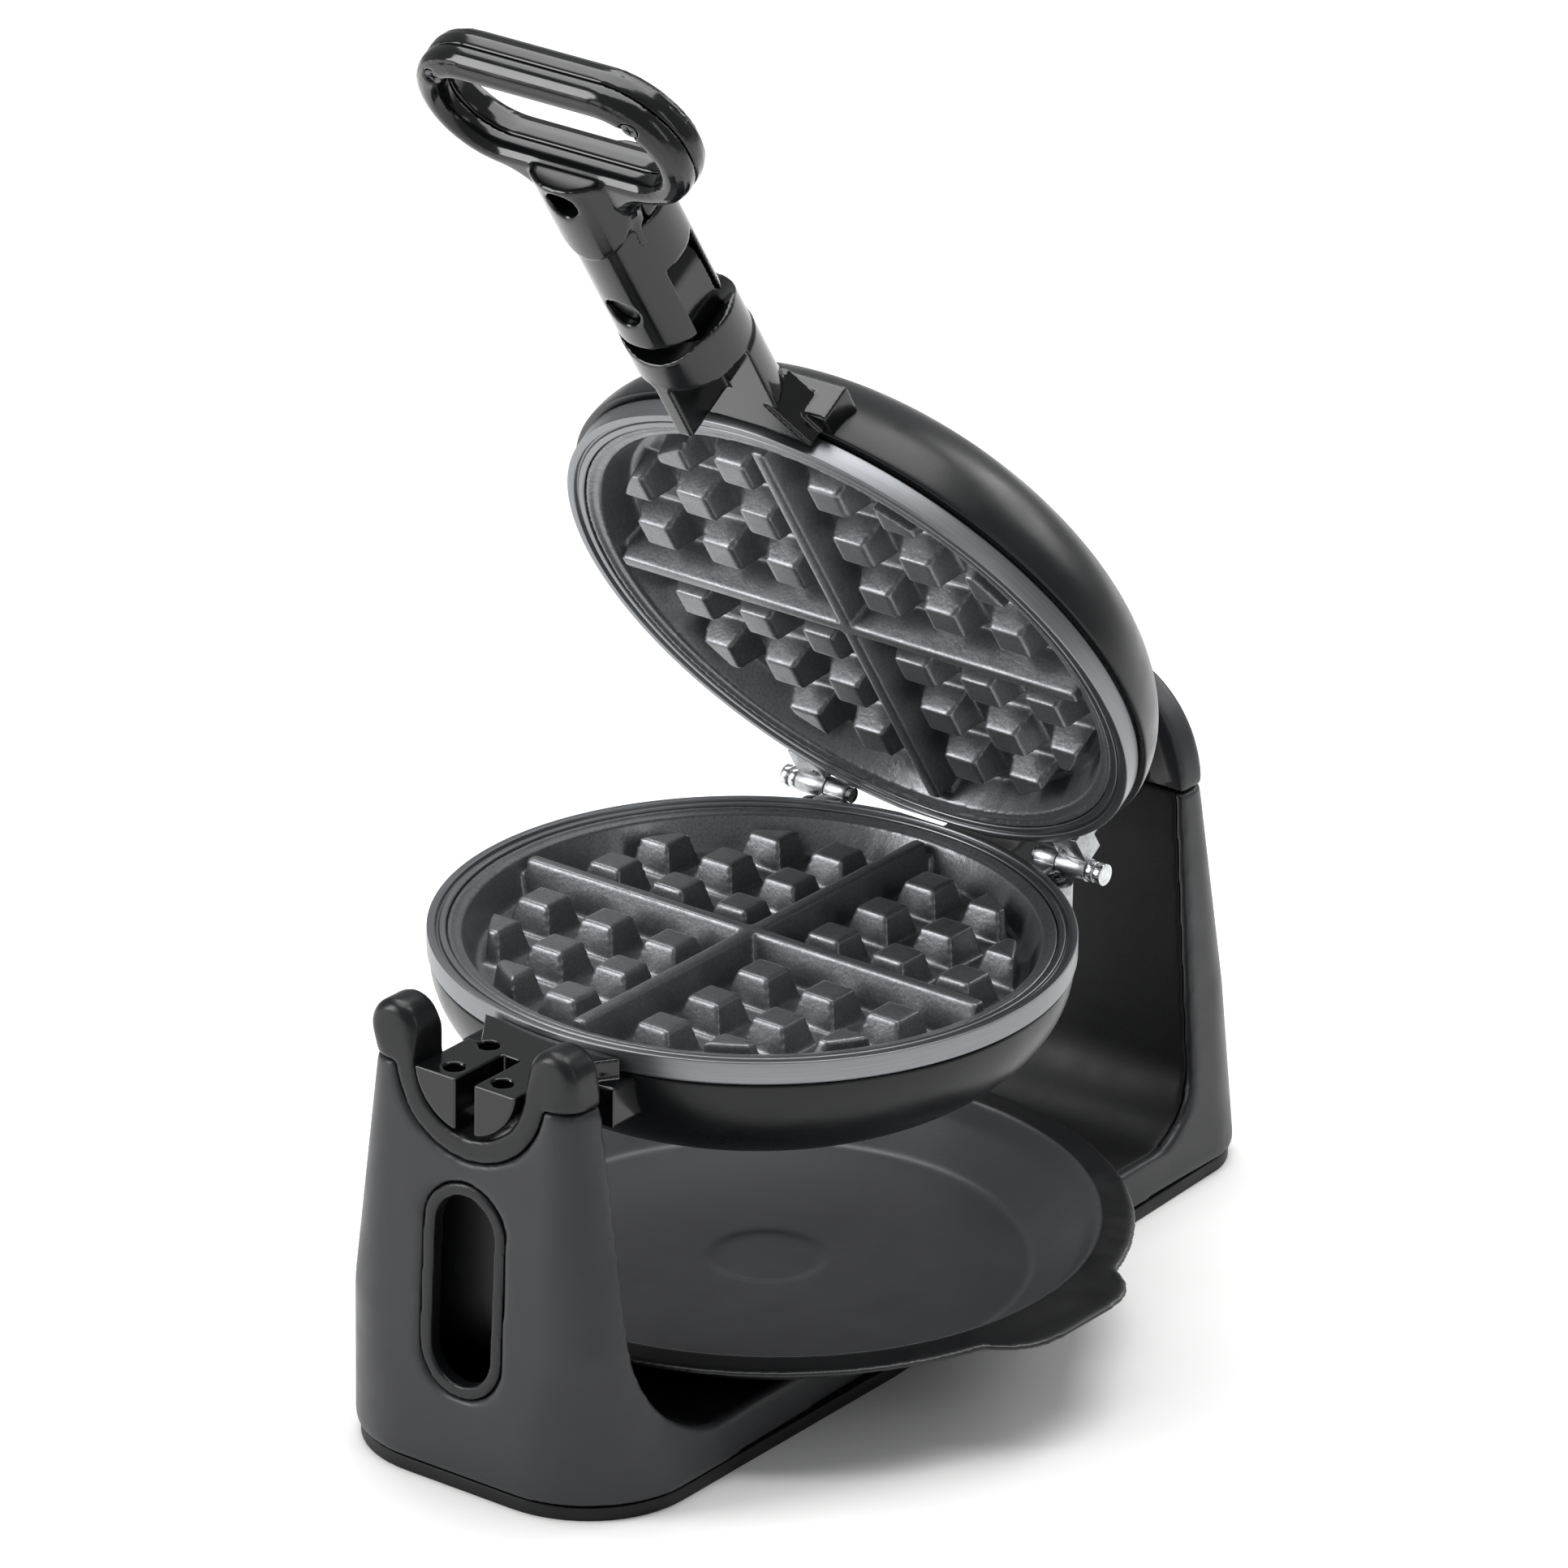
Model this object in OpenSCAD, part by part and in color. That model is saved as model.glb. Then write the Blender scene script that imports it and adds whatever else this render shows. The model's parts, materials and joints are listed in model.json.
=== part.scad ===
// Rotating waffle maker: two hinged cooking pans on a horizontal flip axis, carried by a U-shaped stand.
// Origin: on the surface the stand rests on, under the centre of the pans. +Y runs to the rear tower.

/* [Stand] */
// Height of the flip axis and of the parting plane between the pans
axis_h = 133; // [125:1:180]
// Wall of the stand housing
stand_wall = 4; // [2:0.5:5]
// Half width of the stand at the floor, under the front tower
stand_half_front = 57; // [50:1:64]
// Half width of the stand at the floor, at the rear end
stand_half_rear = 49; // [42:1:60]
// Half width of both towers where their caps begin
tower_half_top = 38; // [34:1:46]
// Depth of the front tower at its cap
front_tower_depth = 14.5; // [12:0.5:22]
// Depth of the rear tower at its cap
rear_tower_depth = 15; // [12:0.5:24]
// Free space between the front edge of the pans and the front tower
front_gap = 24; // [20:0.5:34]
// Free space behind the pans, where the open lid swings back
rear_gap = 70; // [64:1:90]
// Height of the stand floor between the towers
floor_h = 18; // [14:0.5:24]
// Width of the window in the front tower
window_w = 22; // [14:0.5:26]
// Height of the window in the front tower
window_h = 60; // [40:1:66]

/* [Pans] */
// Outer radius of the metal band of each pan
ring_r = 97; // [80:0.5:100]
// Height of the metal band of each pan
band_h = 8; // [6:0.5:12]
// Depth of the plastic dome behind each band
dome_depth = 44; // [36:1:52]
// Wall of the plastic domes
dome_wall = 2.5; // [1.5:0.5:4]
// Radius of the waffle cavity at its mouth
cavity_r = 86; // [70:0.5:87]
// Depth of the waffle cavity in each pan
cavity_depth = 13; // [8:0.5:14]
// Distance between neighbouring pockets of the waffle
nub_pitch = 24; // [18:0.5:26]
// Width of one nub at its foot
nub_w = 17; // [10:0.5:19]
// Height of the nubs
nub_h = 10; // [6:0.5:12]

/* [Hinge and handle] */
// Angle by which the lid stands open at rest
open_angle = 56.7; // [0:0.1:90]
// Radius of the round stem that lies in the cradle
stem_r = 18.7; // [14:0.1:19.5]
// Radius of the hinge pins
pin_r = 2.5; // [1.5:0.1:3]
// Radius of the fold pin of the handle
fold_pin_r = 3; // [2:0.1:4]
// Radius of the handle's neck
neck_r = 16.4; // [14:0.2:17]
// Half width of the finger opening in the handle
grip_half = 38; // [34:1:46]
// Half height of the finger opening in the handle
grip_r = 15; // [11:0.5:18]
// Width of the grip bar around the finger opening
grip_bar = 9; // [8:0.5:16]

/* [Drip tray] */
// Radius of the tray's bowl at its rim
tray_r = 101; // [84:0.5:104]
// Width of the tray's flange
flange_w = 10; // [6:0.5:14]
// Height of the tray's rim above the surface
tray_rim_h = 36; // [28:0.5:36.5]

/* [Fits] */
// Gap between covers, panels and other pieces that don't move on each other
fit = 0.15; // [0.05:0.05:0.3]
// Radial clearance of pins and shafts that turn
run_fit = 0.05; // [0.02:0.01:0.1]
// Gap between each pan's face and the parting plane
pan_gap = 0.2; // [0.1:0.05:0.5]

/* [Hidden] */
$fn = 64;

// Stand
plate_h = 4.3;                      // bottom plate, with a shadow gap above it
skirt_z = 4.6;                      // lower edge of the housing
seam_z = axis_h - 4;                // joint between the towers and their caps
front_in = -(ring_r + front_gap);   // inner face of the front tower
rear_in = ring_r + rear_gap;        // inner face of the rear tower
front_out_top = front_in - front_tower_depth;
rear_out_top = rear_in + rear_tower_depth;
front_out = front_out_top - 5;      // outer faces at the floor
rear_out = rear_out_top + 22;
front_mid_z = axis_h * 0.4;         // the towers' corners are tighter above these heights
rear_mid_z = axis_h * 0.45;
floor_top = floor_h + 2.5;
wall_tilt = atan((rear_out - rear_out_top) / (seam_z - skirt_z));
inlet_z = 22;
inlet_y = rear_out - (inlet_z - skirt_z) * tan(wall_tilt);
front_corner = 37;                  // plan radii of the stand's corners
rear_corner = 27;
top_corner = 9;
front_scoop = 40;                   // radii between the tower faces and the floor
rear_scoop = 21;
liner_step = 1.2;                   // the liner lies this much behind the housing's edges
liner_t = 2.5;
cradle_r = stem_r + 1.6;
saddle_band = 7.2;
horn_h = 9.5;                       // centre of the horns' round tips above the seam
tray_y = 10;
window_z = axis_h - 69;
bezel_w = 4;

// Pans
lip = 0.8;                          // step between a band and the lower dome
lid_lip = 2;                        // the lid's dome stands this much outside its band
plate_r = ring_r - 6;
ledge_r = cavity_r + 1;
plate_back = cavity_depth + 3;
rib_h = cavity_depth - 1;
element_r = 55;
element_tube = 3.3;
shield_z = plate_back + 10;
hinge_y = ring_r - 1;
rear_flat = hinge_y - 0.8;          // the bands are cut flat here, in front of the hinge axis
knuckle_r = 3.6;
knuckle_x = 36;
lug_a = 7.5;                        // widths of the two knuckles and of the pin's collar
lug_b = 10.5;
boss_y = 90.2;
boss_x = 46.5;
boss_r = 5;

// Stem and handle
stem_back = -(ring_r + 15);
cradle_face = front_out_top - 1.5;
slot_w = 6.8;
fin_w = 5.8;
collar_y = cradle_face - 1;
fold_y = front_out_top - 37;
neck_z = -1.8;                      // the neck's tube lies this far below the parting plane
neck_y = fold_y + 15.5;
collar_scoop = norm([neck_r, neck_y - fold_y]) + 0.5;
tongue_w = 12;
tongue_h = 7.5;
collar_end = fold_y + neck_r + 0.8;
tongue_end = collar_y - 1.5;
neck_end = fold_y - 34;
grip_y = fold_y - 73;
grip_out_r = grip_r + grip_bar;
grip_x = grip_half - grip_r;
cover_front = -13;                  // faces of the grip and the plane between its two covers
cover_seam = -5.5;
cover_back = 3.5;
shaft_r = 12;
shaft_y = rear_in - 21;

module at_axis() translate([0, 0, axis_h]) children();
module opened() translate([0, hinge_y, axis_h]) rotate([-open_angle, 0, 0]) translate([0, -hinge_y, 0]) children();
module lid_up() mirror([0, 0, 1]) children();
module along_y(y0, y1, r) translate([0, y1, 0]) rotate([90, 0, 0]) cylinder(h = y1 - y0, r = r);
module both_sides() { children(); mirror([1, 0, 0]) children(); }
module extrude_x(half) rotate([90, 0, 90]) translate([0, 0, -half]) linear_extrude(2 * half) children();

// ---- Stand: plan outlines and solids ----

// Half-rounded plan outline of a tower: corners of radius r at y_out, square at y_in.
module tower_plan(w, r, y_in, y_out) {
    s = sign(y_out - y_in);
    hull() {
        for (x = [-1, 1]) translate([x * (w - r), y_out - s * r]) circle(r);
        translate([-w, min(y_in, y_in + s * 0.6)]) square([2 * w, 0.6]);
    }
}
module slab(z, t = 0.1) translate([0, 0, z]) linear_extrude(t) children();

// A width or place at height z on a face that runs straight from the skirt to the caps' seam.
function between(low, high, z) = low + (high - low) * (z - skirt_z) / (seam_z - skirt_z);
function front_half(z) = between(stand_half_front, tower_half_top, z);
function rear_half(z) = between(stand_half_rear, tower_half_top + 0.6, z);

module front_tower(inset, z_top) hull() {
    slab(skirt_z - (inset > 0 ? 1 : 0))
        tower_plan(stand_half_front - inset, front_corner - inset, front_in + 40, front_out + inset);
    slab(front_mid_z) tower_plan(front_half(front_mid_z) - inset, 20 - inset, front_in, front_out + 1.6 + inset);
    slab(z_top - 0.1) tower_plan(tower_half_top - inset, top_corner - inset, front_in, front_out_top + inset);
}
module rear_tower(inset, z_top) hull() {
    slab(skirt_z - (inset > 0 ? 1 : 0))
        tower_plan(stand_half_rear - inset, rear_corner - inset, rear_in - 25, rear_out - inset);
    slab(rear_mid_z) tower_plan(rear_half(rear_mid_z) - inset, 16 - inset, rear_in,
        between(rear_out, rear_out_top, rear_mid_z) - inset);
    slab(z_top - 0.1) tower_plan(tower_half_top + 0.6 - inset, top_corner - inset, rear_in, rear_out_top - inset);
}
module floor_plan(front, rear) polygon([[-front, front_out + front_corner], [front, front_out + front_corner],
    [rear, rear_in - 8], [-rear, rear_in - 8]]);
module stand_floor(inset) hull() {
    slab(skirt_z - (inset > 0 ? 1 : 0)) floor_plan(stand_half_front - inset, stand_half_rear - inset);
    slab(floor_top - 0.1) floor_plan(front_half(floor_top) - inset, rear_half(floor_top) - inset);
}
module stand_solid(inset) {
    front_tower(inset, seam_z + (inset > 0 ? 6 : 0));
    rear_tower(inset, seam_z + (inset > 0 ? 6 : 0));
    stand_floor(inset);
}
// The open space between the towers, grown outwards by out.
module scoop(out) extrude_x(90) {
    hull() {
        translate([front_in + front_scoop, floor_h + front_scoop]) circle(front_scoop + out);
        translate([rear_in - rear_scoop, floor_h + rear_scoop]) circle(rear_scoop + out);
        translate([front_in - out, axis_h + 40]) square([rear_in - front_in + 2 * out, 10]);
    }
}
module window_hole(grow) rotate([90, 0, 0]) linear_extrude(-front_out + 20) hull() {
    for (s = [-1, 1]) translate([0, window_z + s * (window_h - window_w) / 2]) circle(window_w / 2 + grow);
}
module front_window(grow) intersection() {
    window_hole(grow);
    translate([-30, front_out - 10, 0]) cube([60, front_in - liner_step - liner_t - 2 - front_out + 10, axis_h]);
}
// Everything above the caps' seam, with the band that runs under the cradle.
module cap_zone(grow) union() {
    translate([-80, front_out - 10, seam_z - grow]) cube([160, 60, 60]);
    translate([0, 0, axis_h]) along_y(front_out - 10, front_in + 20, cradle_r + saddle_band + grow);
}
screw_spots = [[-34, front_in + 22], [34, front_in + 22], [-36, 20], [36, 20], [-32, rear_in - 14], [32, rear_in - 14]];
module at_inlet() translate([0, inlet_y, inlet_z]) rotate([wall_tilt - 90, 0, 0]) children();

module stand_housing() color("#26272a") difference() {
    stand_solid(0);
    stand_solid(stand_wall);
    scoop(0);
    front_window(bezel_w + fit);
    cap_zone(fit);
    at_inlet() translate([0, 0, -12]) cylinder(h = 20, r = 8);
}

// Inner panels of both towers and the floor between them, with the bosses for the bottom plate's screws.
module stand_liner() color("#1d1e20") difference() {
    union() {
        intersection() {
            stand_solid(stand_wall + fit);
            scoop(liner_step + liner_t);
            translate([-90, -300, skirt_z]) cube([180, 600, seam_z - skirt_z]);
        }
        for (p = screw_spots) translate([p[0], p[1], plate_h + 0.2]) cylinder(h = 22, r = 4.5);
    }
    scoop(liner_step);
    cap_zone(fit);
    at_axis() along_y(rear_in - 30, rear_in + 20, shaft_r + 4.05);
    for (p = screw_spots) translate([p[0], p[1], 0]) cylinder(h = 13, r = 1.8);
}

module cradle_cut(r) at_axis() union() {
    along_y(front_out - 10, front_in + 10, r);
    translate([-r, front_out - 10, 0]) cube([2 * r, front_in - front_out + 20, 80]);
}
module horn() hull() {
    intersection() {
        slab(seam_z, 0.5) tower_plan(tower_half_top, top_corner, front_in, front_out_top);
        translate([cradle_r, -300, 0]) cube([60, 400, 300]);
    }
    tip_r = (tower_half_top - cradle_r) / 2;
    translate([cradle_r + tip_r, 0, seam_z + horn_h]) {
        along_y(front_out_top + 3, front_in - 2, tip_r);
        along_y(front_out_top + 0.6, front_in, tip_r - 2.2);
    }
}
module front_saddle() color("#232427") difference() {
    union() {
        both_sides() horn();
        intersection() {
            front_tower(0, seam_z);
            cap_zone(0);
        }
    }
    scoop(0);
    cradle_cut(cradle_r);
}

module rear_arch(inset) hull() {
    slab(seam_z - (inset > 0 ? 1 : 0), 1)
        tower_plan(tower_half_top + 0.6 - inset, top_corner - inset, rear_in + inset, rear_out_top - inset);
    translate([0, 0, seam_z]) {
        along_y(rear_in + inset, rear_out_top - 5 - inset, tower_half_top + 0.6 - inset);
        along_y(rear_in + inset, rear_out_top - inset, tower_half_top - 4 - inset);
    }
}
module rear_cap() color("#232427") difference() {
    rear_arch(0);
    rear_arch(stand_wall - 1);
    translate([-80, 0, 0]) cube([160, 400, seam_z + fit]);
    scoop(0);
    at_axis() along_y(rear_in - 10, rear_in + stand_wall + 1, shaft_r + 4.05);
}

module window_bezel() color("#2b2c2f") difference() {
    intersection() {
        front_tower(0.3, seam_z);
        front_window(bezel_w);
    }
    front_tower(stand_wall + 1.5, seam_z);
    window_hole(0);
}

module stand_plan(inset) hull() {
    tower_plan(stand_half_front - inset, front_corner - inset, 0, front_out + inset);
    tower_plan(stand_half_rear - inset, rear_corner - inset, 0, rear_out - inset);
}
foot_spots = [[-36, front_out + 64], [36, front_out + 64], [-30, rear_out - 22], [30, rear_out - 22]];
module bottom_plate() color("#1b1c1e") difference() {
    linear_extrude(plate_h) stand_plan(1.5);
    translate([0, 0, -1]) linear_extrude(2.5) stand_plan(8);
    for (p = screw_spots) translate([p[0], p[1], -1]) {
        cylinder(h = 10, r = 2);
        cylinder(h = 4, r = 4);
    }
}
module rubber_feet() color("#111111") for (p = foot_spots) translate([p[0], p[1], 0])
    cylinder(h = 1.5, r = 9);
module stand_screws() color("silver") for (p = screw_spots) translate([p[0], p[1], 1.2]) difference() {
    union() {
        translate([0, 0, 1.8]) cylinder(h = 9, r = 1.75);
        cylinder(h = 1.8, r = 3.5);
    }
    for (a = [0, 90]) rotate(a) translate([-2, -0.4, -1]) cube([4, 0.8, 1.8]);
}
module rear_bearing() color("#cfcfc8") at_axis() difference() {
    union() {
        along_y(rear_in - 0.5, rear_in + 9, shaft_r + 4);
        along_y(rear_in - 2.5, rear_in - 0.5, shaft_r + 5.5);
    }
    along_y(rear_in - 10, rear_in + 20, shaft_r + run_fit);
}
module cord_inlet() color("#151515") at_inlet() difference() {
    union() {
        translate([0, 0, -12]) cylinder(h = 13, r = 7.9);
        translate([0, 0, 0.3]) cylinder(h = 3, r = 10);
    }
    translate([0, 0, -20]) cylinder(h = 40, r = 3.8);
}
module terminal_block() color("#e8e4d8") translate([-12, rear_in + 7, 30]) difference() {
    cube([24, 9, 10]);
    for (i = [0:2]) translate([4 + 8 * i, -1, 5]) rotate([-90, 0, 0]) cylinder(h = 6, r = 1.8);
}

// ---- Pan halves, drawn for the lower pan: mating plane at z = 0, body below ----

function dome_points(r, d, z0, n) = [for (i = [0:n]) let (a = 90 * i / n) [r * pow(cos(a), 0.75), z0 - d * sin(a)]];
module dome(r, d, wall) rotate_extrude($fn = 120) difference() {
    polygon(concat([[0, -band_h]], dome_points(r, d, -band_h, 14)));
    polygon(concat([[0, -band_h + 1], [r - wall, -band_h + 1]],
        dome_points(r - wall, d - wall, -band_h, 14)));
}
module dome_cut(r, d, grow) rotate_extrude($fn = 120)
    polygon(concat([[0, 0], [r + grow, 0]], dome_points(r + grow, d + grow, -band_h, 14)));
module front_of_hinge() translate([-150, -150, -150]) cube([300, 150 + rear_flat, 300]);

module ring() color("#a9abad") intersection() {
    rotate_extrude($fn = 180) polygon([[ledge_r, -band_h], [ring_r, -band_h], [ring_r, -pan_gap - 0.6],
        [ring_r - 0.6, -pan_gap], [plate_r + fit, -pan_gap], [plate_r + fit, -band_h + 1.2],
        [ledge_r, -band_h + 1.2]]);
    front_of_hinge();
}
module frustum(foot, top, h) rotate(45) cylinder(h = h, r1 = foot / sqrt(2), r2 = top / sqrt(2), $fn = 4);
// Quarter pattern: three full rows of nubs less the corner, with cut nubs where the rim passes.
nub_first = nub_pitch * 0.72;
nub_cells = [[0, 0], [1, 0], [0, 1], [1, 1], [2, 0], [0, 2], [2, 1], [1, 2]];
module nubs() intersection() {
    for (q = [0:90:270]) rotate(q) for (c = nub_cells)
        translate([nub_first + c[0] * nub_pitch, nub_first + c[1] * nub_pitch, -cavity_depth - 1])
            frustum(nub_w, nub_w - 6, nub_h + 1);
    translate([0, 0, -cavity_depth - 2]) cylinder(h = cavity_depth + 2, r1 = cavity_r - 6.5, r2 = cavity_r - 7.5);
}
module ribs() for (q = [0, 90]) rotate(q) rotate([90, 0, 0])
    linear_extrude(2 * cavity_r - 4, center = true)
        polygon([[-5, -cavity_depth - 1], [5, -cavity_depth - 1], [2, -cavity_depth + rib_h],
            [-2, -cavity_depth + rib_h]]);
module plate_posts() for (a = [90, 210, 330]) rotate(a) translate([38, 0, -shield_z + 1])
    cylinder(h = shield_z - plate_back, r = 4);
module plate() color("#57595c") union() {
    rotate_extrude($fn = 120) polygon([[0, -plate_back], [cavity_r - 1.6, -plate_back],
        [cavity_r + 0.6, -band_h], [cavity_r + 0.6, -band_h + 1.2 + fit],
        [plate_r, -band_h + 1.2 + fit], [plate_r, -0.8], [plate_r - 1.4, -0.8], [plate_r - 2, -2],
        [cavity_r + 0.6, -2], [cavity_r - 3.4, -cavity_depth], [0, -cavity_depth]]);
    nubs();
    ribs();
    plate_posts();
}
module element() color("#8a8580") translate([0, 0, -plate_back - element_tube - 0.2]) union() {
    rotate([0, 0, 20]) rotate_extrude(angle = 320) translate([element_r, 0]) circle(element_tube, $fn = 24);
    for (a = [20, 340]) rotate(a) translate([element_r, 0, -5]) cylinder(h = 5, r = 1.6);
}
module shield() color("#c8c8c4") difference() {
    rotate_extrude($fn = 96) polygon([[0, -shield_z], [70, -shield_z], [76, -shield_z + 5], [77, -shield_z + 5],
        [71, -shield_z - 0.8], [0, -shield_z - 0.8]]);
    for (a = [20, 340]) rotate(a) translate([element_r, 0, -60]) cylinder(h = 60, r = 3);
}
module thermostat() color("#d8d0b8") translate([0, 0, -plate_back - 5.2]) {
    cylinder(h = 5, r = 9);
    for (x = [-5, 5]) translate([x - 1.5, -10, -2.5]) cube([3, 20, 2.4]);
}

// ---- Stem halves and brackets that hold the pans in the cradle ----

// Flare and ears that join the stem to a pan, drawn below the parting plane.
module stem_bracket(r) difference() {
    union() {
        translate([0, 0, -16]) linear_extrude(14)
            polygon([[-14, stem_back], [14, stem_back], [25, -ring_r + 1], [-25, -ring_r + 1]]);
        translate([-28, -ring_r - 6, -21]) cube([56, 18, 12.8]);
    }
    translate([0, 0, -band_h - fit]) cylinder(h = 30, r = ring_r + fit, $fn = 180);
    dome_cut(r, dome_depth, fit);
}
stem_holes = [[9, cradle_face + 6.5], [-9, cradle_face + 6.5], [10.5, stem_back - 0.5], [-10.5, stem_back - 0.5]];
module lower_stem() color("#141516") at_axis() difference() {
    union() {
        intersection() {
            along_y(cradle_face, stem_back, stem_r);
            translate([-30, cradle_face - 1, -40]) cube([60, 60, 38]);
        }
        stem_bracket(ring_r - lip);
    }
    translate([-slot_w / 2, cradle_face - 1, -30]) cube([slot_w, stem_back - 3 - cradle_face + 1, 40]);
    for (p = stem_holes) translate([p[0], p[1], -8]) cylinder(h = 10, r = 3.2);
}
module upper_stem() color("#141516") opened() difference() {
    union() {
        intersection() {
            along_y(collar_y, stem_back, stem_r);
            translate([-30, collar_y - 1, 2]) cube([60, 60, 38]);
        }
        along_y(collar_end, collar_y, stem_r - 0.5);
        translate([-fin_w / 2, collar_y - 2, -stem_r + 0.5]) cube([fin_w, stem_back - 4.5 - collar_y + 2, stem_r + 3]);
        lid_up() stem_bracket(ring_r + lid_lip);
    }
    translate([0, fold_y, -40]) cylinder(h = 80, r = collar_scoop);
    translate([-tongue_w - fit, fold_y, -tongue_h - fit])
        cube([2 * (tongue_w + fit), tongue_end - fold_y + fit, 2 * (tongue_h + fit)]);
    for (p = stem_holes) translate([p[0], p[1] + 4, stem_r - 10]) cylinder(h = 20, r = 2.8);
}
module stem_tongue() color("#17181a") opened() difference() {
    translate([0, 0, -tongue_h]) linear_extrude(2 * tongue_h) union() {
        translate([0, fold_y]) circle(tongue_w);
        translate([-tongue_w, fold_y]) square([2 * tongue_w, tongue_end - fold_y]);
    }
    translate([0, fold_y, -20]) cylinder(h = 40, r = fold_pin_r + run_fit);
}

// ---- Hinge ----

module knuckle(x, w) translate([x, hinge_y, 0]) rotate([0, 90, 0]) difference() {
    cylinder(h = w, r = knuckle_r);
    translate([0, 0, -1]) cylinder(h = w + 2, r = pin_r + run_fit);
}
module lug_web(x, w, z0, z1) difference() {
    translate([x, hinge_y - 14, z0]) cube([w, 14 - pin_r, z1 - z0]);
    translate([0, 0, -40]) cylinder(h = 80, r = ring_r + fit, $fn = 180);
    translate([x - 1, hinge_y, 0]) rotate([0, 90, 0]) cylinder(h = w + 2, r = pin_r + run_fit);
}
module lug_boss(r) difference() {
    translate([boss_x, boss_y, -14]) cylinder(h = 10, r = boss_r);
    translate([0, 0, -40]) cylinder(h = 80, r = r + fit, $fn = 180);
}
module boss_hole() translate([boss_x, boss_y, -20]) cylinder(h = 40, r = 1.5);
module lower_hinge_lugs() color("#8d8f91") at_axis() both_sides() difference() {
    union() {
        knuckle(knuckle_x, lug_a);
        lug_web(knuckle_x, lug_a, -7.8, -0.3);
        lug_boss(ring_r);
    }
    boss_hole();
}
module upper_hinge_lugs() color("#8d8f91") opened() both_sides() difference() {
    union() {
        knuckle(knuckle_x + lug_a + 0.4, lug_b);
        lug_web(knuckle_x + lug_a + 0.4, lug_b, 0.3, 7.8);
        lid_up() lug_boss(ring_r + lid_lip);
    }
    boss_hole();
}
module hinge_pins() color("#c9cbcd") at_axis() both_sides()
    translate([knuckle_x - 1.5, hinge_y, 0]) rotate([0, 90, 0]) {
        cylinder(h = lug_a + lug_b + 6, r = pin_r);
        translate([0, 0, lug_a + lug_b + 2.4]) cylinder(h = 2.4, r = pin_r + 0.8);
        translate([0, 0, lug_a + lug_b + 5.2]) cylinder(h = 2.6, r = pin_r + 0.9);
    }

// ---- Rear pivot ----

module rear_yoke() color("#191a1c") at_axis() difference() {
    union() {
        extrude_x(14) polygon([[hinge_y - 8, -10.5], [hinge_y + 20, -10], [hinge_y + 32, -4],
            [shaft_y - 8, 2], [shaft_y, 2], [shaft_y, -14], [shaft_y - 8, -16], [hinge_y + 20, -34],
            [hinge_y - 14, -34]]);
        along_y(shaft_y - 6, shaft_y + 2, shaft_r + 3);
    }
    dome_cut(ring_r - lip, dome_depth, fit);
    along_y(shaft_y - 5, shaft_y + 10, shaft_r);
}
module pivot_tube() color("#9a9c9e") at_axis() difference() {
    along_y(shaft_y - 5, rear_in + 12, shaft_r);
    along_y(shaft_y - 6, rear_in + 13, shaft_r - 3);
    difference() {
        along_y(rear_in + 9.6, rear_in + 10.8, shaft_r + 1);
        along_y(rear_in + 9, rear_in + 11, shaft_r - 1);
    }
}
module shaft_clip() color("#b8b8b0") at_axis() difference() {
    along_y(rear_in + 9.7, rear_in + 10.7, shaft_r + 2.5);
    along_y(rear_in + 9, rear_in + 11, shaft_r - 0.9);
    translate([-4, rear_in + 9, -30]) cube([8, 3, 30]);
}

// ---- Lower pan, fixed to the flip axis ----

module lower_shell() color("#1f2022") at_axis() dome(ring_r - lip, dome_depth, dome_wall);
module lower_ring() at_axis() ring();
module lower_plate() at_axis() plate();
module lower_element() at_axis() element();
module lower_shield() at_axis() shield();
module lower_thermostat() at_axis() thermostat();
module small_screw(r, h) difference() {
    union() {
        translate([0, 0, -h]) cylinder(h = h, r = r * 0.55);
        cylinder(h = 1.6, r = r);
    }
    for (a = [0, 90]) rotate(a) translate([-r * 0.6, -0.35, 0.7]) cube([r * 1.2, 0.7, 2]);
}
module lower_screws() color("#7c7e80") at_axis() {
    for (p = stem_holes) translate([p[0], p[1], -7]) small_screw(3, 0.9);
    for (s = [-1, 1]) translate([s * boss_x, boss_y, -3.9]) small_screw(2.6, 8);
}

// ---- Lid, drawn closed and swung open about the hinge ----

module upper_shell() color("#1f2022") opened() lid_up() dome(ring_r + lid_lip, dome_depth, dome_wall + lid_lip);
module upper_ring() opened() lid_up() ring();
module upper_plate() opened() lid_up() plate();
module upper_element() opened() lid_up() element();
module upper_shield() opened() lid_up() shield();
module upper_thermostat() opened() lid_up() thermostat();
module upper_screws() color("#7c7e80") opened() {
    for (p = stem_holes) translate([p[0], p[1] + 4, stem_r - 9.9]) small_screw(2.6, 0.01);
    for (s = [-1, 1]) translate([s * boss_x, boss_y, 14.1]) small_screw(2.6, 8);
}

// ---- Handle, folding sideways on the tongue ----

module neck_tube(y0, y1, r) translate([0, 0, neck_z]) along_y(y0, y1, r);
module neck_slot() translate([0, 0, -tongue_h - 0.4]) linear_extrude(2 * tongue_h + 0.8) union() {
    translate([0, fold_y]) circle(tongue_w + 0.6);
    translate([-tongue_w - 0.6, fold_y]) square([60, 60]);
    translate([0, fold_y - tongue_w - 0.6]) square([60, 60]);
}
pin_low = neck_z - neck_r + 6;
pin_top = neck_z + neck_r - 3;
module handle_neck() color("#101112") opened() difference() {
    neck_tube(neck_end, neck_y, neck_r);
    neck_slot();
    translate([0, fold_y, pin_low - 1]) cylinder(h = pin_top - pin_low + 1, r = fold_pin_r + 0.02);
    translate([0, fold_y, -30]) cylinder(h = 30 + pin_low, r = 5.5);
}
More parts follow.
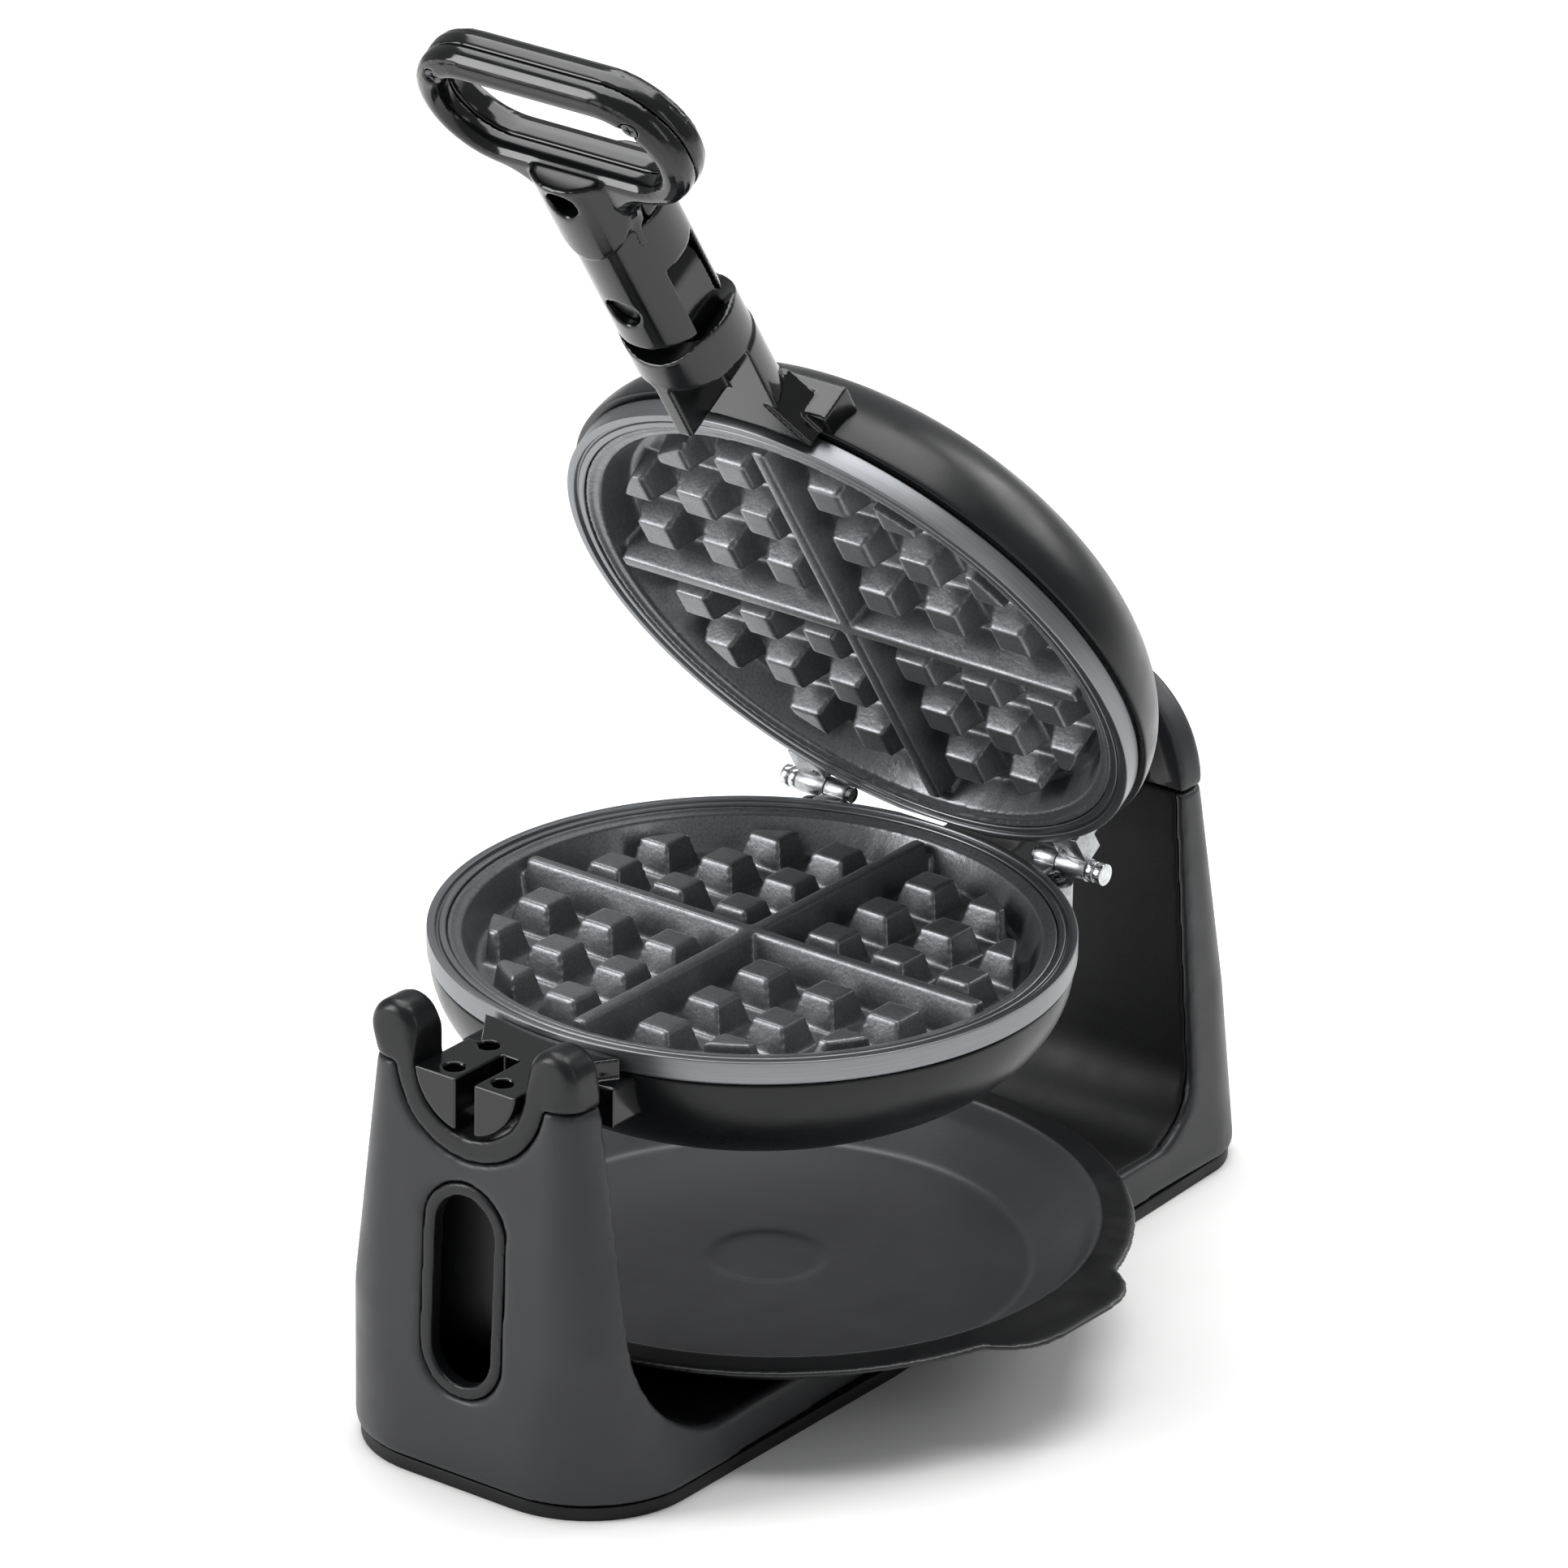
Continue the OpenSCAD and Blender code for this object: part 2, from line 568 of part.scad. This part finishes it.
module fold_pin() color("#77797b") opened() translate([0, fold_y, pin_low]) union() {
    cylinder(h = pin_top - pin_low, r = fold_pin_r);
    translate([0, 0, -3]) cylinder(h = 3, r = 5);
}
// Outline of the grip and its web, drawn in by inset.
module grip_plan(inset) difference() {
    offset(delta = -inset) offset(r = -14) offset(delta = 14) union() {
        hull() for (s = [-1, 1]) translate([s * grip_x, grip_y]) circle(grip_out_r);
        translate([-neck_r + 1, grip_y]) square([2 * neck_r - 2, neck_end - grip_y + 8]);
    }
    hull() for (s = [-1, 1]) translate([s * grip_x, grip_y]) circle(grip_r + inset / 2);
}
// A cover's rounded edge: [share of the depth, inset] of each step from the seam to the face.
grip_steps = [[0.5, 0], [0.74, 0.7], [0.9, 2.2], [1, 4]];
module grip_cover(depth) for (i = [0:len(grip_steps) - 1]) {
    from = i == 0 ? 0 : grip_steps[i - 1][0] * depth - 0.01;
    translate([0, 0, from]) linear_extrude(grip_steps[i][0] * depth - from) grip_plan(grip_steps[i][1]);
}
grip_screws = [[-grip_half + 3, grip_y - grip_r + 1], [grip_half - 3, grip_y - grip_r + 1]];
neck_screw_y = grip_y + grip_r + 8;
lobe_r = 15;
module handle_front_cover() color("#0e0f10") opened() difference() {
    union() {
        translate([0, 0, cover_seam - 0.05]) lid_up() grip_cover(cover_seam - 0.05 - cover_front);
        intersection() {
            neck_tube(grip_y + grip_r + 1, neck_end + lobe_r, neck_r + 1.5);
            translate([0, 0, -40]) linear_extrude(40 + cover_seam - 0.05) hull() {
                translate([0, neck_end - lobe_r + 8]) circle(lobe_r);
                translate([0, neck_end - 12]) circle(lobe_r + 1);
            }
        }
    }
    neck_tube(neck_end - 0.1, neck_y, neck_r + 0.05);
    for (p = grip_screws) translate([p[0], p[1], cover_front - 1]) cylinder(h = 3.5, r = 2.9);
    translate([0, neck_screw_y, -30]) cylinder(h = 30 + cover_front + 4, r = 5);
}
module handle_back_cover() color("#0e0f10") opened() difference() {
    union() {
        translate([0, 0, cover_seam + 0.05]) grip_cover(cover_back - cover_seam);
        neck_tube(neck_end - 6, neck_end - 0.1, neck_r);
    }
    neck_tube(neck_end - 0.1, neck_y, neck_r + 0.05);
    translate([0, 0, -50 + cover_seam + 0.05]) linear_extrude(50) translate([-60, -300]) square([120, 200]);
}
module handle_screws() color("#55575a") opened() {
    for (p = grip_screws) translate([p[0], p[1], cover_front + 2.49]) lid_up() small_screw(2.6, 0.01);
    translate([0, neck_screw_y, cover_front + 3.99]) lid_up() small_screw(4, 0.01);
}

// ---- Drip tray ----

module drip_tray() color("#3a3b3d") translate([0, tray_y, 0]) difference() {
    union() {
        rotate_extrude($fn = 160) polygon([[0, floor_h + 0.2], [tray_r - 20, floor_h + 0.2],
            [tray_r - 4, tray_rim_h - 6], [tray_r, tray_rim_h - 2], [tray_r + flange_w, tray_rim_h - 2.6],
            [tray_r + flange_w, tray_rim_h - 0.6], [tray_r + 0.5, tray_rim_h], [tray_r - 1, tray_rim_h],
            [tray_r - 6, tray_rim_h - 5], [tray_r - 21, floor_h + 2.2], [0, floor_h + 2.2]]);
        translate([0, 0, tray_rim_h - 2.6]) linear_extrude(2) difference() {
            hull() {
                translate([tray_r - 4, -13]) circle(22);
                translate([tray_r - 4, 13]) circle(22);
            }
            circle(tray_r + 2);
        }
    }
    translate([0, 0, floor_h + 1.2]) cylinder(h = 20, r1 = 17, r2 = 37);
}

stand_housing();
stand_liner();
front_saddle();
rear_cap();
window_bezel();
bottom_plate();
rubber_feet();
stand_screws();
rear_bearing();
cord_inlet();
terminal_block();
lower_shell();
lower_ring();
lower_plate();
lower_element();
lower_shield();
lower_thermostat();
lower_stem();
lower_screws();
lower_hinge_lugs();
hinge_pins();
rear_yoke();
pivot_tube();
shaft_clip();
upper_shell();
upper_ring();
upper_plate();
upper_element();
upper_shield();
upper_thermostat();
upper_hinge_lugs();
upper_stem();
stem_tongue();
upper_screws();
handle_neck();
handle_front_cover();
handle_back_cover();
fold_pin();
handle_screws();
drip_tray();
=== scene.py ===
"""Rotating waffle maker: moulded shells, turned pans and their finishes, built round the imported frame."""

import json
from math import cos, pi, radians, sin

import bmesh
import bpy
from mathutils import Matrix, Vector


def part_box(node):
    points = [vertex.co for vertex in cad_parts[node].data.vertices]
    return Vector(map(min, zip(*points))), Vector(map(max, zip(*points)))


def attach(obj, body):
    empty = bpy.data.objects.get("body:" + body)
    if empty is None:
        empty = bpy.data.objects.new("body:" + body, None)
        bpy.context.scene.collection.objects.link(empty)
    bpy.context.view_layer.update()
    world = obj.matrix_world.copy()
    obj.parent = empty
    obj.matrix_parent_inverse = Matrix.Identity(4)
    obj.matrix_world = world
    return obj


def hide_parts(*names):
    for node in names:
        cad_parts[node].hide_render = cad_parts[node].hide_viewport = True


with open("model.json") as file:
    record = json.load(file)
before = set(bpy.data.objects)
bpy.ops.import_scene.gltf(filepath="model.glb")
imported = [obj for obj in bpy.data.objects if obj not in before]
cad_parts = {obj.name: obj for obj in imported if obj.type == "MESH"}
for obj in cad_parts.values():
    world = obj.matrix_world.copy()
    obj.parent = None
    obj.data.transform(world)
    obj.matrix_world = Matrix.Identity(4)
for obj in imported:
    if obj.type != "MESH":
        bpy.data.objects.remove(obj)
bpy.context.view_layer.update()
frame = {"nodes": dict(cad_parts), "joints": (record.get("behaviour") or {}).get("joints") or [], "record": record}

MM = 0.001
BODY_OF = {n: b for b, nodes in frame["record"]["behaviour"]["bodies"].items() for n in nodes}
JOINT = {j["name"]: j for j in frame["joints"]}
AXIS_H = JOINT["pan_flip"]["pos_m"][2] / MM
HINGE_Y = JOINT["lid_hinge"]["pos_m"][1] / MM
OPEN = radians(-JOINT["lid_hinge"]["range_deg"][0])

# ---- Shader building ----


def linear(code, gain=1.0):
    """An sRGB hex colour as linear RGBA, brightened by gain."""
    parts = [int(code[i : i + 2], 16) / 255 for i in (1, 3, 5)]
    return [gain * (p / 12.92 if p <= 0.04045 else ((p + 0.055) / 1.055) ** 2.4) for p in parts] + [1.0]


def add(tree, kind, links=None, **settings):
    """Adds a node. links gives each input a value, or another node's output to link."""
    made = tree.nodes.new("ShaderNode" + kind)
    for key, value in settings.items():
        setattr(made, key, value)
    for key, value in (links or {}).items():
        if isinstance(value, bpy.types.NodeSocket):
            tree.links.new(value, made.inputs[key])
        else:
            made.inputs[key].default_value = value
    return made


def material(name, **shader):
    """A new material with a Principled shader: (material, tree, shader, object coordinates in metres)."""
    made = bpy.data.materials.new(name)
    made.use_nodes = True
    tree = made.node_tree
    tree.nodes.clear()
    principled = add(tree, "BsdfPrincipled", {k.replace("_", " "): v for k, v in shader.items()})
    add(tree, "OutputMaterial", {"Surface": principled.outputs[0]})
    return made, tree, principled, add(tree, "TexCoord").outputs["Object"]


def spread(tree, where, size_mm, low, high, detail=2.0):
    """Noise with patches of size_mm, as a number from low to high."""
    noise = add(tree, "TexNoise", {"Vector": where, "Scale": 1 / (size_mm * MM), "Detail": detail})
    return add(
        tree,
        "MapRange",
        {"Value": noise.outputs[0], "From Min": 0.3, "From Max": 0.7, "To Min": low, "To Max": high},
    ).outputs[0]


def tint(tree, shader, factor, dark, light):
    """Base colour between dark and light by factor."""
    mixed = add(tree, "Mix", {0: factor, 6: dark, 7: light}, data_type="RGBA")
    tree.links.new(mixed.outputs[2], shader.inputs["Base Color"])


def bump(tree, shader, height, deep_mm):
    made = add(tree, "Bump", {"Height": height, "Distance": deep_mm * MM, "Strength": 1.0})
    tree.links.new(made.outputs[0], shader.inputs["Normal"])


def moulded(name, colour, rough, grain_mm, grain_deep, smudge=0.05, ior=1.5, level=0.4):
    """Moulded plastic: nearly even colour, the tool's grain as fine bump, and faint smudges in the sheen."""
    made, tree, shader, where = material(name, IOR=ior, Roughness=rough, Specular_IOR_Level=level)
    tint(tree, shader, spread(tree, where, 30, 0, 1), linear(colour, 0.88), linear(colour, 1.12))
    tree.links.new(spread(tree, where, 14, rough - smudge, rough + smudge, 4), shader.inputs["Roughness"])
    bump(tree, shader, spread(tree, where, grain_mm, 0, 1, 3), grain_deep)
    return made


FLANGE_SHADE_W = 10.5  # the tray's flange, painted black as shade, measured from its outer edge
SHADE_BLEND_W = 0.6  # over which the flange's painted shade meets the bowl's grey


def grey_bowl_with_shaded_flange(name, inside, flange_shade, rough):
    """The tray's grey plastic, with the flange around the bowl's rim painted black as the shade that falls on it.
    """
    made, tree, shader, where = material(name, IOR=1.5, Roughness=rough)
    low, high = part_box("drip_tray")
    centre = (0.0, 0.5 * (low.y + high.y), 0.0)
    offset = add(tree, "VectorMath", {0: where, 1: centre}, operation="SUBTRACT")
    flat = add(tree, "VectorMath", {0: offset.outputs[0], 1: (1, 1, 0)}, operation="MULTIPLY")
    reach = add(tree, "VectorMath", {0: flat.outputs[0]}, operation="LENGTH")
    # Beyond this reach the flange is painted black as shade.
    edge = 0.5 * (high.y - low.y) - FLANGE_SHADE_W * MM
    shade_mask = add(
        tree, "MapRange", {"Value": reach.outputs["Value"], "From Min": edge, "From Max": edge + SHADE_BLEND_W * MM}
    )
    tint(tree, shader, shade_mask.outputs[0], linear(inside), linear(flange_shade))
    tree.links.new(spread(tree, where, 14, rough - 0.05, rough + 0.05, 4), shader.inputs["Roughness"])
    bump(tree, shader, spread(tree, where, 1.0, 0, 1, 3), 0.008)
    return made


def cast(name, colour, rough, metal, speck_mm, speck_deep):
    """Cast or rolled metal: small colour specks and a slightly uneven surface."""
    made, tree, shader, where = material(name, Metallic=metal, Roughness=rough)
    tint(tree, shader, spread(tree, where, speck_mm, 0, 1, 4), linear(colour, 0.8), linear(colour, 1.2))
    tree.links.new(spread(tree, where, 6, rough - 0.06, rough + 0.06, 3), shader.inputs["Roughness"])
    bump(tree, shader, spread(tree, where, speck_mm * 1.5, 0, 1, 3), speck_deep)
    return made


def brushed(name, colour, rough):
    """Sheet metal brushed along its band: long streaks in colour, sheen and height."""
    made, tree, shader, _ = material(name, Metallic=1.0, Roughness=rough)
    streaks = add(tree, "Mapping", {"Vector": add(tree, "UVMap").outputs[0], "Scale": (1 / 30, 1 / 0.45, 1)})
    noise = add(tree, "TexNoise", {"Vector": streaks.outputs[0], "Scale": 1.0, "Detail": 3.0})
    tint(tree, shader, noise.outputs[0], linear(colour, 0.75), linear(colour, 1.25))
    sheen = add(
        tree, "MapRange", {"Value": noise.outputs[0], "To Min": rough - 0.08, "To Max": rough + 0.1}
    )
    tree.links.new(sheen.outputs[0], shader.inputs["Roughness"])
    bump(tree, shader, noise.outputs[0], 0.02)
    return made


FINISH = {
    # Spark-eroded ABS: charcoal, a soft broad sheen; the grain is drawn at 0.9 mm so that it shows.
    "stand": moulded("satin_moulded_abs_charcoal", "#232427", 0.4, 0.9, 0.012),
    # Inner panels of the same plastic, less polished, painted nearly black as the shade that falls in the stand's
    # hollows and under its base.
    "shade_dark_panel": moulded("matt_moulded_abs_painted_shade", "#0d0e0f", 0.5, 0.9, 0.014, level=0.3),
    # The cradle's horns and the window's frame: black, a little smoother than the towers, and darkened further
    # with painted shade to match the shaded right horn.
    "shade_dark_trim": moulded("satin_moulded_abs_black_painted_shade", "#101113", 0.32, 0.9, 0.008, level=0.35),
    # The pans' domes: smoother phenolic with a clearer highlight.
    "dome": moulded("satin_moulded_phenolic_black", "#111214", 0.31, 1.2, 0.006, level=0.32),
    # The handle and its stem: polished phenolic, sharp reflections.
    "handle": moulded("polished_phenolic_black", "#090a0b", 0.13, 2.5, 0.003, smudge=0.03, level=0.5),
    # The drip tray: grey plastic, its flange painted black as shade.
    "tray": grey_bowl_with_shaded_flange("satin_moulded_pp_grey_painted_shade_flange", "#3b3c3f", "#121315", 0.33),
    "rubber": moulded("moulded_rubber_black", "#141414", 0.8, 1.0, 0.02, ior=1.52),
    "nylon": moulded("moulded_nylon_natural", "#d8d4c6", 0.45, 1.0, 0.01),
    # Cast aluminium under a grey non-stick coat: satin, with fine pale specks.
    "plate": cast("nonstick_coated_cast_aluminium", "#737578", 0.34, 0.7, 0.8, 0.025),
    "lug": cast("die_cast_zinc", "#a8aaac", 0.34, 1.0, 1.2, 0.02),
    "element": cast("heat_darkened_steel_tube", "#6a625a", 0.42, 1.0, 2.0, 0.01),
    "shield": cast("rolled_aluminium_sheet", "#c9cac8", 0.3, 1.0, 3.0, 0.01),
    "pin": cast("bright_drawn_steel", "#c9cbcd", 0.16, 1.0, 1.5, 0.004),
    "screw": cast("dark_zinc_plated_steel", "#4a4b4d", 0.3, 1.0, 1.0, 0.006),
    "band": brushed("brushed_aluminium_band", "#828487", 0.38),
}

# ---- Mesh building ----


def piece(name, mesh, finish, nodes, smooth=None):
    """Puts a mesh in the scene as a piece that stands for CAD nodes and rides with their body."""
    made = bpy.data.objects.new(name, mesh)
    bpy.context.scene.collection.objects.link(made)
    mesh.materials.clear()
    mesh.materials.append(FINISH[finish])
    mesh.polygons.foreach_set("use_smooth", [True] * len(mesh.polygons))
    if smooth:
        mesh.set_sharp_from_angle(angle=radians(smooth))
    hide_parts(*nodes)
    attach(made, BODY_OF[nodes[0]])
    return made


def welded(node):
    """The CAD node's mesh as a bmesh whose faces share their corners."""
    bm = bmesh.new()
    bm.from_mesh(frame["nodes"][node].data)
    bmesh.ops.remove_doubles(bm, verts=bm.verts, dist=2e-6)
    return bm


def softened(node, finish, voxel, passes, keep=0.35):
    """The node with every edge rounded: an even net of voxel mm, relaxed passes times and thinned to keep."""
    bm = welded(node)
    mesh = bpy.data.meshes.new(node + "_net")
    bm.to_mesh(mesh)
    bm.free()
    worker = bpy.data.objects.new(node + "_net", mesh)
    bpy.context.scene.collection.objects.link(worker)
    for kind, settings in (
        ("REMESH", {"mode": "VOXEL", "voxel_size": voxel * MM}),
        ("SMOOTH", {"factor": 0.5, "iterations": passes}),
        ("DECIMATE", {"ratio": keep}),
    ):
        modifier = worker.modifiers.new(kind.title(), kind)
        for key, value in settings.items():
            setattr(modifier, key, value)
    shaped = bpy.data.meshes.new_from_object(worker.evaluated_get(bpy.context.evaluated_depsgraph_get()))
    bpy.data.objects.remove(worker)
    return piece(node + "_moulding", shaped, finish, [node])


def edged(node, finish, width):
    """The node with its sharp edges broken by a round of width mm."""
    bm = welded(node)
    bmesh.ops.dissolve_limit(bm, angle_limit=radians(1), verts=bm.verts, edges=bm.edges)
    sharp = [e for e in bm.edges if len(e.link_faces) == 2 and e.calc_face_angle(0) > radians(32)]
    bmesh.ops.bevel(
        bm, geom=sharp, offset=width * MM, segments=2, profile=0.5, affect="EDGES", clamp_overlap=True
    )
    mesh = bpy.data.meshes.new(node + "_edged")
    bm.to_mesh(mesh)
    bm.free()
    return piece(node + "_part", mesh, finish, [node], smooth=38)


def rounded(points, radius, steps=4, closed=False):
    """The outline with each corner replaced by a curve that starts radius mm before it."""
    points = [Vector(p) for p in points]
    count = len(points)
    out = [] if closed else [points[0]]
    for i in range(count) if closed else range(1, count - 1):
        before, corner, after = points[i - 1], points[i], points[(i + 1) % count]
        reach = min(radius, 0.45 * (before - corner).length, 0.45 * (after - corner).length)
        start = corner + (before - corner).normalized() * reach
        end = corner + (after - corner).normalized() * reach
        out += [
            (1 - t) ** 2 * start + 2 * t * (1 - t) * corner + t * t * end
            for t in (k / steps for k in range(steps + 1))
        ]
    return out if closed else out + [points[-1]]


def turned(name, profile, place, finish, nodes, steps=240, flat_at=None):
    """Turns a closed profile of (radius, height) in mm about the axis. flat_at cuts it square at that y."""
    bm = bmesh.new()
    uv = bm.loops.layers.uv.new("UVMap")
    along = [0.0]
    for a, b in zip(profile, profile[1:] + profile[:1]):
        along.append(along[-1] + (Vector(b) - Vector(a)).length)
    reach = max(p[0] for p in profile)
    columns = []
    for i in range(steps):
        turn = 2 * pi * i / steps
        columns.append([bm.verts.new((p[0] * cos(turn), p[0] * sin(turn), p[1])) for p in profile])
    for i in range(steps):
        here, there = columns[i], columns[(i + 1) % steps]
        for k in range(len(profile)):
            n = (k + 1) % len(profile)
            if profile[k][0] < 1e-6 and profile[n][0] < 1e-6:
                continue
            face = bm.faces.new((here[k], there[k], there[n], here[n]))
            for loop, (column, row) in zip(face.loops, ((i, k), (i + 1, k), (i + 1, k + 1), (i, k + 1))):
                loop[uv].uv = (2 * pi * reach * column / steps, along[row])
    bmesh.ops.remove_doubles(bm, verts=bm.verts, dist=1e-5)
    if flat_at is not None:
        geometry = bm.verts[:] + bm.edges[:] + bm.faces[:]
        bmesh.ops.bisect_plane(
            bm, geom=geometry, plane_co=(0, flat_at, 0), plane_no=(0, 1, 0), clear_outer=True
        )
        bmesh.ops.holes_fill(bm, edges=[e for e in bm.edges if e.is_boundary])
    bmesh.ops.transform(bm, matrix=Matrix.Scale(MM, 4) @ place, verts=bm.verts)
    bmesh.ops.recalc_face_normals(bm, faces=bm.faces)
    mesh = bpy.data.meshes.new(name)
    bm.to_mesh(mesh)
    bm.free()
    return piece(name, mesh, finish, nodes, smooth=35)


# ---- Pans: drawn for the lower one, with its mating face at height 0 and its body below ----

LOWER = Matrix.Translation((0, 0, AXIS_H))
LID = (
    Matrix.Translation((0, HINGE_Y, AXIS_H))
    @ Matrix.Rotation(-OPEN, 4, "X")
    @ Matrix.Translation((0, -HINGE_Y, 0))
    @ Matrix.Scale(-1, 4, (0, 0, 1))
)
RING_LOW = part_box("lower_ring")
RING_R = RING_LOW[1].x / MM
BAND_H = AXIS_H - RING_LOW[0].z / MM
RING_TOP = AXIS_H - RING_LOW[1].z / MM
FLAT_Y = RING_LOW[1].y / MM
DOME_LOW = AXIS_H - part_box("lower_shell")[0].z / MM
LOWER_DOME_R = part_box("lower_shell")[1].x / MM
UPPER_DOME_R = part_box("upper_shell")[1].x / MM
DOME_SHAPE = 0.75  # power that flattens the dome's bottom and steepens its side


def dome(name, radius, wall, rim_wall, place, node):
    def curve(r, depth, count=40):
        return [
            (r * cos(a) ** DOME_SHAPE if k < count else 0.0, -BAND_H - depth * sin(a))
            for k in range(count + 1)
            for a in [0.5 * pi * k / count]
        ]

    outer = curve(radius, DOME_LOW - BAND_H)
    inner = curve(radius - rim_wall, DOME_LOW - BAND_H - wall)
    lip = rounded([inner[0], (radius - rim_wall, -BAND_H), (radius, -BAND_H), outer[1]], 0.9)
    turned(name, lip[1:-1] + outer[1:] + inner[::-1], place, "dome", [node])


dome("lower_dome", LOWER_DOME_R, 2.5, 2.5, LOWER, "lower_shell")
dome("upper_dome", UPPER_DOME_R, 2.5, 4.5, LID, "upper_shell")

LEDGE_R = 87
BAND_IN = RING_R - 5.85
FOOT_IN, FOOT_H = 1.4, 0.9  # step at the band's foot, which leaves a dark gap to the dome
RIM_W = 2.6  # flat rim at the band's mouth
GROOVE_W, GROOVE_DEEP = 1.2, 1.3
LIP_DROP = 0.4  # the inner lip lies this much behind the rim
LEDGE_T = 1.2
ring_profile = rounded(
    [
        (LEDGE_R, -BAND_H),
        (RING_R - FOOT_IN, -BAND_H),
        (RING_R - FOOT_IN, -BAND_H + FOOT_H),
        (RING_R, -BAND_H + FOOT_H),
        (RING_R, -RING_TOP),
        (RING_R - RIM_W, -RING_TOP),
        (RING_R - RIM_W - 0.2, -RING_TOP - GROOVE_DEEP),
        (RING_R - RIM_W - GROOVE_W + 0.2, -RING_TOP - GROOVE_DEEP),
        (RING_R - RIM_W - GROOVE_W, -RING_TOP - LIP_DROP),
        (BAND_IN, -RING_TOP - LIP_DROP),
        (BAND_IN, -BAND_H + LEDGE_T),
        (LEDGE_R, -BAND_H + LEDGE_T),
    ],
    0.5,
    closed=True,
)
turned("lower_band", ring_profile, LOWER, "band", ["lower_ring"], flat_at=FLAT_Y)
turned("upper_band", ring_profile, LID, "band", ["upper_ring"], flat_at=FLAT_Y)

for node in ("lower_plate", "upper_plate"):
    softened(node, "plate", 0.7, 7, 0.4)

# ---- Tray ----

softened("drip_tray", "tray", 1.0, 10, 0.35)

# ---- Stand ----

softened("stand_housing", "stand", 1.1, 14, 0.3)
softened("stand_liner", "shade_dark_panel", 1.1, 6, 0.3)
softened("front_saddle", "shade_dark_trim", 0.8, 12, 0.4)
softened("rear_cap", "stand", 1.0, 14, 0.35)
softened("window_bezel", "shade_dark_trim", 0.6, 8, 0.4)
edged("bottom_plate", "shade_dark_panel", 0.8)
edged("rubber_feet", "rubber", 0.4)

# ---- Stem, handle ----

softened("lower_stem", "handle", 0.5, 10, 0.4)
softened("upper_stem", "handle", 0.5, 10, 0.4)
softened("stem_tongue", "handle", 0.6, 8, 0.4)
softened("handle_neck", "handle", 0.5, 16, 0.4)
softened("handle_front_cover", "handle", 0.5, 24, 0.4)
softened("handle_back_cover", "handle", 0.5, 24, 0.4)
softened("rear_yoke", "shade_dark_panel", 0.9, 10, 0.4)

# ---- Metal and small parts ----

for node, finish, width in (
    ("lower_hinge_lugs", "lug", 0.4),
    ("upper_hinge_lugs", "lug", 0.4),
    ("hinge_pins", "pin", 0.3),
    ("pivot_tube", "pin", 0.3),
    ("shaft_clip", "pin", 0.1),
    ("lower_screws", "screw", 0.12),
    ("upper_screws", "screw", 0.12),
    ("handle_screws", "screw", 0.12),
    ("stand_screws", "screw", 0.12),
    ("fold_pin", "screw", 0.3),
    ("rear_bearing", "nylon", 0.3),
    ("cord_inlet", "rubber", 0.4),
    ("terminal_block", "nylon", 0.3),
    ("lower_element", "element", 0.2),
    ("upper_element", "element", 0.2),
    ("lower_shield", "shield", 0.2),
    ("upper_shield", "shield", 0.2),
    ("lower_thermostat", "nylon", 0.2),
    ("upper_thermostat", "nylon", 0.2),
):
    edged(node, finish, width)

# ---- Floor, light and camera ----


def floor():
    made, tree, shader, where = material("matt_studio_paper", Roughness=0.9)
    tint(tree, shader, spread(tree, where, 400, 0, 1), linear("#f1f1f0"), linear("#f6f6f5"))
    mesh = bpy.data.meshes.new("floor")
    mesh.from_pydata([(-9, -9, 0), (9, -9, 0), (9, 9, 0), (-9, 9, 0)], [], [(0, 1, 2, 3)])
    mesh.materials.append(made)
    sheet = bpy.data.objects.new("floor", mesh)
    bpy.context.scene.collection.objects.link(sheet)


def softbox(name, place, target, size, watts):
    lamp = bpy.data.lights.new(name, "AREA")
    lamp.shape, lamp.size, lamp.size_y, lamp.energy = "RECTANGLE", size[0], size[1], watts
    made = bpy.data.objects.new(name, lamp)
    made.location = place
    made.rotation_euler = (Vector(target) - Vector(place)).to_track_quat("-Z", "Y").to_euler()
    bpy.context.scene.collection.objects.link(made)


floor()
AIM = (0, 0, 0.15)
softbox("overhead", (-0.2, 0.3, 2.0), AIM, (2.2, 1.8), 56)
softbox("left", (-1.3, -1.6, 1.0), AIM, (0.8, 1.5), 34)
softbox("right", (1.8, -0.2, 0.9), AIM, (0.4, 1.2), 3)
softbox("back", (0.4, 2.0, 1.2), AIM, (1.4, 0.8), 12)

world = bpy.data.worlds.new("studio")
world.use_nodes = True
world.node_tree.nodes["Background"].inputs[0].default_value = linear("#f4f5f6")
world.node_tree.nodes["Background"].inputs[1].default_value = 0.36
bpy.context.scene.world = world
bpy.context.scene.view_settings.view_transform = "Standard"

camera = bpy.data.objects.new("camera", bpy.data.cameras.new("camera"))
camera.data.sensor_width = 36
camera.data.lens = 261.1
right, up, back = (0.7963, 0.6048, 0.0150), (-0.2523, 0.3094, 0.9169), (0.5498, -0.7339, 0.3989)
turn = Matrix((right, up, back)).transposed().to_4x4()
camera.matrix_world = Matrix.Translation((1.857, -2.464, 1.521)) @ turn
bpy.context.scene.collection.objects.link(camera)
bpy.context.scene.camera = camera
